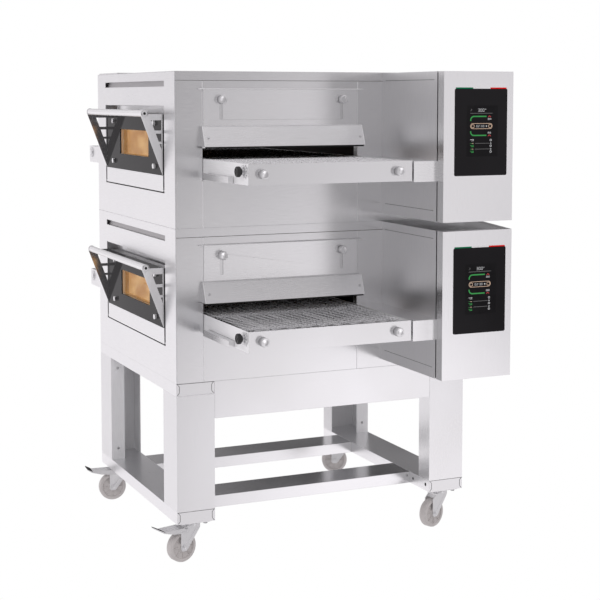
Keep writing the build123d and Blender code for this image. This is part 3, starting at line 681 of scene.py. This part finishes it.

# ------------------------------------------------------------------ folded edges, painted highlight strips, trims, grooves and fold lines
for d in DECKS:
    t = TOP[d]
    bm = bmesh.new()
    # near-white strips in the vertical panel seams: a painted highlight along each seam
    for x in (93.5, 644.5):
        tube(bm, [P(x, 0.35, z, t) for z in (-499, -380, -350)], 0.0011, 8)
        tube(bm, [P(x, 0.35, z, t) for z in (-184, -100, -31)], 0.0011, 8)
    make(f"{d}_seam_highlight_strips", bm, M["bead"], "oven_frame")
    for place, y_face, out in (("front", 0.0, -1.0), ("rear", 869.0, 1.0)):
        bm = bmesh.new()
        # rolled front edge of the shutter's lip, and the hood's folded rim, coloured near-white as a painted highlight
        # along these edges
        tube(bm, [P(x, y_face + out * 7.9, -56.3, t) for x in (77.5, 200, 400, 659.5)], 0.0012, 8)
        rim = [P(87.2, y_face + out * 41.0, -239.4, t), P(87.2, y_face + out * 15.2, -175.6, t), P(652.3, y_face + out * 15.2, -175.6, t), P(652.3, y_face + out * 41.0, -239.4, t)]
        tube(bm, rim, 0.0010, 8)
        make(f"{d}_{place}_shutter_rims", bm, M["bead"], f"{d}_{place}_shutter")
        bm = bmesh.new()
        lo, hi = sorted((y_face + out * 34.0, y_face + out * 38.8))
        cuboid(bm, P(89.5, lo, -245.0, t), P(650, hi, -239.2, t))
        o = make(f"{d}_{place}_hood_trim", bm, M["rubber"], f"{d}_{place}_shutter", smooth=False)
        bevelled(o, 0.001, 2)
    # corner filler between the drive cover's round end and the control box
    bm = bmesh.new()
    pts = [(703 + 35 * math.sin(math.radians(a)), -349 - 35 * math.cos(math.radians(a))) for a in range(0, 91, 6)] + [(737.9, -383.6), (706, -383.9)]
    lo = [bm.verts.new(P(x, y, -345.4, t)) for x, y in pts]
    hi = [bm.verts.new(P(x, y, -281.4, t)) for x, y in pts]
    bm.faces.new(lo)
    bm.faces.new(list(reversed(hi)))
    for i in range(len(pts)):
        bm.faces.new((lo[i], hi[i], hi[(i + 1) % len(pts)], lo[(i + 1) % len(pts)]))
    make(f"{d}_drive_cover_corner", bm, M["hood"], "oven_frame")
    bm = bmesh.new()
    for z in (-28.0, -440.0):
        cuboid(bm, P(737.95, -350.8, z - 0.55, t), P(738.35, -23.2, z + 0.55, t))
    make(f"{d}_box_grooves", bm, M["dark"], "oven_frame", smooth=False)

bm = bmesh.new()


def fold_line(pts, bm=bm):
    tube(bm, [P(*p) for p in pts], 0.0007, 6)


for x0, x1 in ((0.0, 130.0), (928.0, 1061.0)):
    for z0, z1 in ((555.0, 595.0), (134.0, 174.0)):
        # the rails' ends are folded round the posts: slanting seams at each side and one above or below
        fold_line([(x0 + 3, -0.15, z1 - 1.5), (x0 + 10, -0.15, z1 - 9), (x0 + 10, -0.15, z0 + 11), (x0 + 3, -0.15, z0 + 2)])
        fold_line([(x1 - 3, -0.15, z1 - 1.5), (x1 - 10, -0.15, z1 - 9), (x1 - 10, -0.15, z0 + 11), (x1 - 3, -0.15, z0 + 2)])
        edge = z1 - 0.9
        fold_line([(x0 + 0.8, -0.15, edge), (x0 + 60, -0.15, edge), (x1 - 0.8, -0.15, edge)])
make("stand_fold_lines", bm, M["dark"], "oven_frame")
bm = bmesh.new()
# a near-white tube along each upper rail's lower edge: a painted highlight line
for x0, x1 in ((0.0, 130.0), (928.0, 1061.0)):
    tube(bm, [P(x, -0.1, 554.2) for x in (x0 + 0.8, x0 + 60, x1 - 0.8)], 0.0009, 8)
make("stand_rail_highlight_rims", bm, M["bead"], "oven_frame")

bm = bmesh.new()
# threaded inserts: one in each lower rail's inner side by the front post
# each insert is a flat near-black disc: painted shade of its threaded bore
for x, out in ((928.0, -1), (130.0, 1)):
    lathe(bm, P(x - out * 0.0, 116, 154), (out, 0, 0), [(0.0, 0.0046), (0.0004, 0.0046), (0.0004, 0.0)], 20)
make("stand_rail_holes", bm, M["dark"], "oven_frame")

# ------------------------------------------------------------------ castor wheels, axle bolts and race details
bpy.context.view_layer.update()
CASTORS = {"front_left": (65.0, 50.0, 195.0), "back_left": (65.0, 819.0, 175.0), "front_right": (996.0, 50.0, 200.0), "back_right": (996.0, 819.0, 160.0)}
for c, (cx, cy, ang) in CASTORS.items():
    a = math.radians(ang)
    trail = Vector((math.cos(a), math.sin(a), 0))
    across = Vector((math.sin(a), -math.cos(a), 0))
    hub = P(cx, cy, 0) + trail * 0.040
    hub.z = 0.050
    bm = bmesh.new()
    half = [(0.0, 0.0500), (0.0085, 0.0500), (0.0115, 0.0494), (0.0136, 0.0478), (0.0147, 0.0455), (0.0150, 0.0425), (0.0149, 0.0395), (0.0140, 0.0383),
            (0.0112, 0.0372), (0.0100, 0.0355), (0.0098, 0.0230), (0.0103, 0.0195), (0.0125, 0.0170), (0.0149, 0.0158), (0.0150, 0.0145), (0.0150, 0.0095),
            (0.0132, 0.0090), (0.0130, 0.00506)]
    prof = [(-x, r) for x, r in reversed(half)] + half[1:]
    prof.append(prof[0])
    lathe(bm, hub, across, prof, 80)
    # moulded ribs between hub and rim on both sides
    for side in (1, -1):
        for i in range(8):
            t = 2 * math.pi * i / 8
            _, u, w = basis(across)
            r = u * math.cos(t) + w * math.sin(t)
            q = across.cross(r)
            lo, hi = 0.0160, 0.0375
            corners = []
            for rr in (lo, hi):
                for qq in (-0.0011, 0.0011):
                    for dd in (0.0090, 0.0128):
                        corners.append(bm.verts.new(hub + r * rr + q * qq + across * side * dd))
            for f in ((0, 1, 3, 2), (4, 6, 7, 5), (0, 4, 5, 1), (2, 3, 7, 6), (0, 2, 6, 4), (1, 5, 7, 3)):
                bm.faces.new([corners[j] for j in f])
    o = make(f"{c}_castor_wheel_moulded", bm, M["wheel"], f"{c}_wheel", angle=28)
    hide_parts(f"{c}_castor_wheel")

    bm = bmesh.new()
    for side in (1, -1):
        lathe(bm, hub + across * side * 0.0195, across * side, [(0, 0.0102), (0.0012, 0.0102), (0.0012, 0.006)], 32)
        lathe(bm, hub + across * side * 0.0243, across * side, [(0.0, 0.0048), (0.0022, 0.0046), (0.0026, 0.0030), (0.0026, 0.0)], 24)
        # pressed stiffening bead along each fork leg
        p0 = P(cx, cy, 0) + trail * -0.004 + across * side * 0.0195
        p0.z = 0.104
        p1 = P(cx, cy, 0) + trail * 0.030 + across * side * 0.0195
        p1.z = 0.060
        tube(bm, [p0 + (p1 - p0) * f for f in (0, 0.1, 0.5, 0.9, 1.0)], 0.0016, 8)
    # ball race under the top plate and grease shield
    race = P(cx, cy, 0)
    race.z = 0.1243
    lathe(bm, race, (0, 0, 1), [(0.0, 0.0262), (0.0012, 0.0272), (0.0020, 0.0268), (0.0020, 0.0245)], 56)
    make(f"{c}_axle_washers", bm, M["zinc"], f"{c}_castor")

    # four bolts through the fixed plate
    bm = bmesh.new()
    for sx in (-38, 38):
        for sy in (-31, 31):
            b = P(cx + sx, cy + sy, 130)
            lathe(bm, b, (0, 0, -1), [(0, 0.0085), (0.0014, 0.0085), (0.0014, 0.0072), (0.0060, 0.0072), (0.0066, 0.0060), (0.0066, 0)], 6)
    make(f"{c}_plate_bolts", bm, M["screw"], "oven_frame")

for c in ("front_left", "back_left"):
    # rubber tip on the toe, and the pressed ridges of the tread
    cx, cy, ang = CASTORS[c]
    a = math.radians(ang)
    trail = Vector((math.cos(a), math.sin(a), 0))
    across = Vector((math.sin(a), -math.cos(a), 0))
    o0 = P(cx, cy, 0)
    bm = bmesh.new()
    pts = [(119.5, 117.2), (138.2, 127.0), (137.4, 128.3), (118.5, 118.6)]
    loops = []
    for s in (-0.0262, 0.0262):
        loops.append([bm.verts.new(o0 + trail * (u / 1000) + across * s + Vector((0, 0, v / 1000))) for u, v in pts])
    bm.faces.new(loops[0])
    bm.faces.new(list(reversed(loops[1])))
    for i in range(4):
        bm.faces.new((loops[0][i], loops[0][(i + 1) % 4], loops[1][(i + 1) % 4], loops[1][i]))
    make(f"{c}_pedal_pad", bm, M["rubber"], f"{c}_pedal")
    bm = bmesh.new()
    for i in range(4):
        u = 0.062 + i * 0.013
        tube(bm, [o0 + trail * u + across * s + Vector((0, 0, 0.1171)) for s in (-0.018, -0.009, 0, 0.009, 0.018)], 0.0012, 6)
    make(f"{c}_pedal_ridges", bm, M["plate"], f"{c}_pedal")

# ------------------------------------------------------------------ doors: glass, window glow
glass_mat, nt, bsdf = new_material("smoked_glass")
n1 = noise(nt, 14.0, (1, 1, 1), 3.0)
nt.links.new(ramp(nt, n1, [(0.3, (0.012, 0.0115, 0.012)), (0.7, (0.017, 0.016, 0.017))]), bsdf.inputs["Base Color"])
nt.links.new(span(nt, n1, 0.03, 0.07), bsdf.inputs["Roughness"])
bsdf.inputs["Specular IOR Level"].default_value = 0.05
bump(nt, bsdf, noise(nt, 6.0, (1, 1, 1), 1.0), 0.02, 0.0006)
M["glass"] = glass_mat

pane_mat, nt, bsdf = new_material("window_glass")
bsdf.inputs["Transmission Weight"].default_value = 1.0
bsdf.inputs["IOR"].default_value = 1.035
n1 = noise(nt, 20.0, (1, 1, 1), 2.0)
nt.links.new(ramp(nt, n1, [(0.3, (0.93, 0.93, 0.92)), (0.7, (0.97, 0.97, 0.96))]), bsdf.inputs["Base Color"])
nt.links.new(span(nt, n1, 0.0, 0.02), bsdf.inputs["Roughness"])
M["pane"] = pane_mat

glow_mat, nt, bsdf = new_material("lamp_lit_chamber")
bsdf.inputs["Base Color"].default_value = (0.05, 0.03, 0.02, 1)
n1 = noise(nt, 9.0, (1, 1.2, 2.2), 2.0, 0.5)
nt.links.new(ramp(nt, n1, [(0.25, (0.34, 0.135, 0.020)), (0.5, (0.46, 0.225, 0.060)), (0.75, (0.60, 0.345, 0.125))]), bsdf.inputs["Emission Color"])
bsdf.inputs["Emission Strength"].default_value = 1.05
M["glow"] = glow_mat
jamb_mat, nt, bsdf = new_material("lamp_lit_jamb")
bsdf.inputs["Base Color"].default_value = (0.10, 0.06, 0.03, 1)
n1 = noise(nt, 12.0, (1, 1, 4), 2.0, 0.5)
nt.links.new(ramp(nt, n1, [(0.25, (0.20, 0.085, 0.012)), (0.75, (0.33, 0.155, 0.030))]), bsdf.inputs["Emission Color"])
bsdf.inputs["Emission Strength"].default_value = 1.0
M["jamb"] = jamb_mat


def ring_plate(bm, outer, inner, x0, x1, t, mat=0):
    """A flat plate in the YZ plane with a rectangular window; outer and inner are (y0, y1, z0, z1)."""
    def loop(r, x):
        y0, y1, z0, z1 = r
        return [bm.verts.new(P(x, y, z, t)) for y, z in ((y0, z0), (y1, z0), (y1, z1), (y0, z1))]
    oa, ob, ia, ib = loop(outer, x0), loop(outer, x1), loop(inner, x0), loop(inner, x1)
    for i in range(4):
        j = (i + 1) % 4
        for q in ((oa[i], oa[j], ia[j], ia[i]), (ob[i], ib[i], ib[j], ob[j]), (oa[i], ob[i], ob[j], oa[j]), (ia[i], ia[j], ib[j], ib[i])):
            bm.faces.new(q).material_index = mat


for d in DECKS:
    t = TOP[d]
    bm = bmesh.new()
    ring_plate(bm, (120.2, 753.8, -335.8, -139.0), (270, 592, -282, -195), 0.2, 5.0, t)
    o = make(f"{d}_door_glass_border", bm, M["glass"], f"{d}_door", smooth=False)
    bevelled(o, 0.0006, 2)
    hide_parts(f"{d}_door_glass")
    bm = bmesh.new()
    cuboid(bm, P(0.4, 270, -282, t), P(4.8, 592, -195, t))
    cuboid(bm, P(12, 270, -282, t), P(15, 592, -195, t))
    make(f"{d}_door_window_panes", bm, M["pane"], f"{d}_door", smooth=False)
    bm = bmesh.new()
    # a lit recess behind the panes: back wall, then the four jambs
    cuboid(bm, P(29, 270.5, -281.5, t), P(30, 591.5, -195.5, t), 0)
    for lo, hi in (((16, 270.5, -281.5), (29, 271.3, -195.5)), ((16, 590.7, -281.5), (29, 591.5, -195.5)),
                   ((16, 271.3, -281.5), (29, 590.7, -280.7)), ((16, 271.3, -196.3), (29, 590.7, -195.5))):
        cuboid(bm, P(*lo, t), P(*hi, t), 1)
    make(f"{d}_door_window_lit_recess", bm, [M["glow"], M["jamb"]], f"{d}_door", smooth=False)
    # the rubber seats of the four glass clamps
    bm = bmesh.new()
    for y in (200.0, 661.0):
        for z in (-167.0, -309.0):
            lathe(bm, P(0.25, y, z, t), (-1, 0, 0), [(0.0, 0.0094), (0.0009, 0.0094), (0.0012, 0.0086)], 32)
    make(f"{d}_door_glass_washers", bm, M["rubber"], f"{d}_door")
    # concentric end caps of the tube
    bm = bmesh.new()
    for y, out in ((114, -1), (760, 1)):
        c = P(-62, y, -135, t)
        lathe(bm, c, (0, out, 0), [(-0.0005, 0.0119), (0.0, 0.0112), (0.0, 0.0085), (-0.0010, 0.0080), (-0.0010, 0.0052), (0.0002, 0.0047), (0.0002, 0.0022), (-0.0010, 0.0018), (-0.0010, 0)], 48)
        # the dark centre disc is painted shade in the hollow middle of the cap
        lathe(bm, c, (0, out, 0), [(0.0001, 0.0046), (0.0005, 0.0044), (0.0005, 0.0)], 32, 1)
    make(f"{d}_handle_end_caps", bm, [M["handle"], M["dark"]], f"{d}_door")
    # louvred vent strip behind the slot, and the perforated ceiling of the door recess, both painted darker as shade
    # inside the recess
    bm = bmesh.new()
    cuboid(bm, P(13, 103.5, -47.8, t), P(14, 801, -30.2, t), 0)
    v = [bm.verts.new(P(x, y, z, t)) for y in (104, 801) for x, z in ((9.0, -47.6), (9.8, -47.6), (13.4, -30.6), (12.4, -30.6))]
    for f in ((0, 1, 2, 3), (7, 6, 5, 4), (0, 4, 5, 1), (1, 5, 6, 2), (2, 6, 7, 3), (3, 7, 4, 0)):
        bm.faces.new([v[j] for j in f])
    # the door recess's ceiling sheet, painted darker than the outside as shade in the recess, with a row of small vent
    # holes near its right end
    cuboid(bm, P(2.6, 118, -111.9, t), P(43, 757, -111.15, t))
    make(f"{d}_vent_baffle", bm, M["baffle"], "oven_frame", smooth=False)
    bm = bmesh.new()
    # the vent holes are flat near-black discs: painted shade of the open holes
    for i in range(14):
        for j in range(3):
            lathe(bm, P(10 + 11 * j, 600 + 11 * i, -111.9, t), (0, 0, -1), [(0.0, 0.0028), (0.0002, 0.0028), (0.0002, 0.0)], 16)
    make(f"{d}_recess_vent_holes", bm, M["dark"], "oven_frame", smooth=False)

# ------------------------------------------------------------------ touch panels
screen_mat, nt, bsdf = new_material("touch_glass")
n1 = noise(nt, 8.0, (1, 1, 1), 2.0)
nt.links.new(ramp(nt, n1, [(0.3, (0.0040, 0.0034, 0.0045)), (0.7, (0.0062, 0.0052, 0.0068))]), bsdf.inputs["Base Color"])
nt.links.new(span(nt, n1, 0.08, 0.14), bsdf.inputs["Roughness"])
bsdf.inputs["Specular IOR Level"].default_value = 0.16
M["screen"] = screen_mat
lcd_mat, nt, bsdf = new_material("lcd_area")
n1 = noise(nt, 30.0, (1, 1, 1), 2.0)
nt.links.new(ramp(nt, n1, [(0.3, (0.006, 0.0055, 0.0065)), (0.7, (0.009, 0.0085, 0.0095))]), bsdf.inputs["Base Color"])
nt.links.new(span(nt, n1, 0.10, 0.16), bsdf.inputs["Roughness"])
bsdf.inputs["Specular IOR Level"].default_value = 0.09
M["lcd"] = lcd_mat
M["lit_white"] = glowing("lit_white", (0.78, 0.78, 0.80), 0.75)
M["lit_grey"] = glowing("lit_grey", (0.30, 0.30, 0.30), 0.6)
M["lit_green"] = glowing("lit_green", (0.012, 0.33, 0.050), 0.8)
M["lit_red"] = glowing("lit_red", (0.62, 0.035, 0.035), 0.8)
M["lit_orange"] = glowing("lit_orange", (0.74, 0.52, 0.38), 1.15)
M["strip_green"] = moulded("strip_green", (0.002, 0.20, 0.085), (0.4, 0.5), 600.0, 0.05, 0.06)
M["strip_white"] = moulded("strip_white", (0.86, 0.86, 0.86), (0.3, 0.4), 600.0, 0.05, 0.5, 0.97)
M["strip_red"] = moulded("strip_red", (0.88, 0.006, 0.004), (0.4, 0.5), 600.0, 0.05, 0.06)

Y_FRONT, Y_BACK = -413.55, -412.0


def slab(bm, outline, y0, y1, t, mat=0):
    a = [bm.verts.new(P(x, y0, z, t)) for x, z in outline]
    b = [bm.verts.new(P(x, y1, z, t)) for x, z in outline]
    n = len(outline)
    bm.faces.new(a).material_index = mat
    bm.faces.new(list(reversed(b))).material_index = mat
    for i in range(n):
        bm.faces.new((a[i], b[i], b[(i + 1) % n], a[(i + 1) % n])).material_index = mat


def rounded(x0, x1, z0, z1, r, n=6):
    pts = []
    for cx, cz, a0 in ((x1 - r, z1 - r, 0), (x0 + r, z1 - r, 90), (x0 + r, z0 + r, 180), (x1 - r, z0 + r, 270)):
        for i in range(n + 1):
            a = math.radians(a0 + 90 * i / n)
            pts.append((cx + r * math.cos(a), cz + r * math.sin(a)))
    return pts


def stroke(bm, pts, width, t, mat=0, closed=False):
    """A flat lit line of constant width along (x, z) points, just in front of the glass."""
    n = len(pts)
    offs = []
    for i in range(n):
        if closed:
            p0, p1 = Vector(pts[i - 1]), Vector(pts[(i + 1) % n])
        else:
            p0, p1 = Vector(pts[max(0, i - 1)]), Vector(pts[min(n - 1, i + 1)])
        d = (p1 - p0).normalized()
        offs.append(Vector((-d.y, d.x)) * width / 2)
    ya, yb = Y_FRONT - 0.22, Y_FRONT + 0.05
    rows = []
    for (x, z), o in zip(pts, offs):
        rows.append([bm.verts.new(P(x + o.x, ya, z + o.y, t)), bm.verts.new(P(x - o.x, ya, z - o.y, t)),
                     bm.verts.new(P(x - o.x, yb, z - o.y, t)), bm.verts.new(P(x + o.x, yb, z + o.y, t))])
    idx = range(n) if closed else range(n - 1)
    for i in idx:
        a, b = rows[i], rows[(i + 1) % n]
        for j in range(4):
            bm.faces.new((a[j], a[(j + 1) % 4], b[(j + 1) % 4], b[j])).material_index = mat
    if not closed:
        bm.faces.new(rows[0]).material_index = mat
        bm.faces.new(list(reversed(rows[-1]))).material_index = mat


def arc_pts(cx, cz, r, a0, a1, n=10):
    return [(cx + r * math.cos(math.radians(a0 + (a1 - a0) * i / n)), cz + r * math.sin(math.radians(a0 + (a1 - a0) * i / n))) for i in range(n + 1)]


SEG = {"0": "abcdef", "1": "bc", "2": "abged", "3": "abgcd", "5": "afgcd", "7": "abc", "8": "abcdefg"}


def digit(bm, ch, x, z, w, h, lw, t, mat=0):
    ends = {"a": ((0, h), (w, h)), "b": ((w, h), (w, h / 2)), "c": ((w, h / 2), (w, 0)), "d": ((0, 0), (w, 0)), "e": ((0, 0), (0, h / 2)), "f": ((0, h / 2), (0, h)), "g": ((0, h / 2), (w, h / 2))}
    for s in SEG[ch]:
        (xa, za), (xb, zb) = ends[s]
        stroke(bm, [(x + xa, z + za), (x + xb, z + zb)], lw, t, mat)


for d in DECKS:
    t = TOP[d]
    body = f"{d}_control_cover"
    bm = bmesh.new()
    slab(bm, rounded(777, 967.5, -329, -56, 5.0), Y_FRONT, Y_BACK, t)
    o = make(f"{d}_touch_glass", bm, M["screen"], body, angle=60)
    bevelled(o, 0.0004, 2, 50)
    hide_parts(f"{d}_touch_panel")
    bm = bmesh.new()
    slab(bm, rounded(819.5, 933, -268.6, -108.5, 1.0), Y_FRONT - 0.04, Y_FRONT + 0.2, t)
    make(f"{d}_lcd_area", bm, M["lcd"], body, smooth=False)
    bm = bmesh.new()
    slab(bm, [(781, -57.6), (842, -57.6), (842, -52.4), (781, -52.4)], -413.4, -411.8, t, 0)
    slab(bm, [(842, -57.6), (905, -57.6), (905, -52.4), (842, -52.4)], -413.4, -411.8, t, 1)
    slab(bm, [(905, -57.6), (964, -57.6), (964, -52.4), (905, -52.4)], -413.4, -411.8, t, 2)
    make(f"{d}_accent_strip", bm, [M["strip_green"], M["strip_white"], M["strip_red"]], body, smooth=False)

    bm = bmesh.new()
    # header: a small mark, three digits and a rule
    for i, ch in enumerate("300"):
        digit(bm, ch, 861.0 + i * 8.2, -127.5, 5.0, 8.4, 0.9, t, 0)
    stroke(bm, arc_pts(887.5, -120.5, 1.3, 0, 330, 8), 0.8, t, 0)
    stroke(bm, [(833, -119), (838, -122.5), (833, -126)], 1.0, t, 3)
    stroke(bm, [(832, -133), (913, -133)], 1.0, t, 3)
    # upper and lower heat arcs
    stroke(bm, [(833.6, -157)] + arc_pts(845.2, -154.2, 11.4, 180, 90) + [(891, -142.8)], 4.0, t, 1)
    stroke(bm, [(833.6, -189)] + arc_pts(845.2, -191.0, 11.4, 180, 270) + [(891, -202.4)], 4.0, t, 1)
    for z, s in ((-142.8, 1), (-202.4, -1)):
        stroke(bm, [(897.5, z - 2.2), (902, z + 1.6), (907.5, z - 2.2)], 2.2, t, 2)
        for i, ch in enumerate("350"):
            digit(bm, ch, 896.0 + i * 4.6, z - s * 8.2 - 2.4, 2.8, 4.6, 0.8, t, 0)
    # belt outline with its two rollers, and the time between them
    stroke(bm, rounded(833.4, 912.2, -181.4, -165.0, 8.0, 8), 1.05, t, 4, closed=True)
    for cx in (841.4, 904.2):
        stroke(bm, arc_pts(cx, -173.2, 5.4, 0, 345, 16), 1.1, t, 4, closed=True)
    for i, ch in enumerate("0230"):
        digit(bm, ch, 854.5 + i * 7.0 + (3.0 if i > 1 else 0), -176.4, 3.6, 6.2, 0.75, t, 0)
    for z in (-175.0, -171.4):
        stroke(bm, [(868.8, z - 0.5), (868.8, z + 0.5)], 1.0, t, 0)
    stroke(bm, arc_pts(891.2, -173.2, 1.6, 0, 345, 8), 1.6, t, 0, closed=True)
    # three slider rows
    for i, z in enumerate((-218.5, -236.5, -254.5)):
        stroke(bm, [(832.5, z + 3), (840, z + 3)], 1.4, t, 0 if i == 0 else 1)
        stroke(bm, [(836, z - 1), (845.5, z - 1)], 1.8, t, 1 if i else 3)
        stroke(bm, arc_pts(843.0, z + 2.6, 2.0, 0, 345, 8), 0.9, t, 1 if i else 0, closed=True)
        stroke(bm, arc_pts(907.5, z + 1.0, 2.9, 0, 345, 12), 1.3, t, 0, closed=True)
    for z in (-227.2, -245.2):
        stroke(bm, [(850, z), (902, z)], 0.9, t, 3)
        stroke(bm, [(832.5, z), (838.5, z)], 0.9, t, 1)
        stroke(bm, [(838.5, z), (844.5, z)], 0.9, t, 4)
        stroke(bm, arc_pts(907.5, z - 0.2, 1.9, 0, 345, 10), 1.0, t, 0, closed=True)
    make(f"{d}_display_marks", bm, [M["lit_white"], M["lit_green"], M["lit_red"], M["lit_grey"], M["lit_orange"]], body, smooth=False)
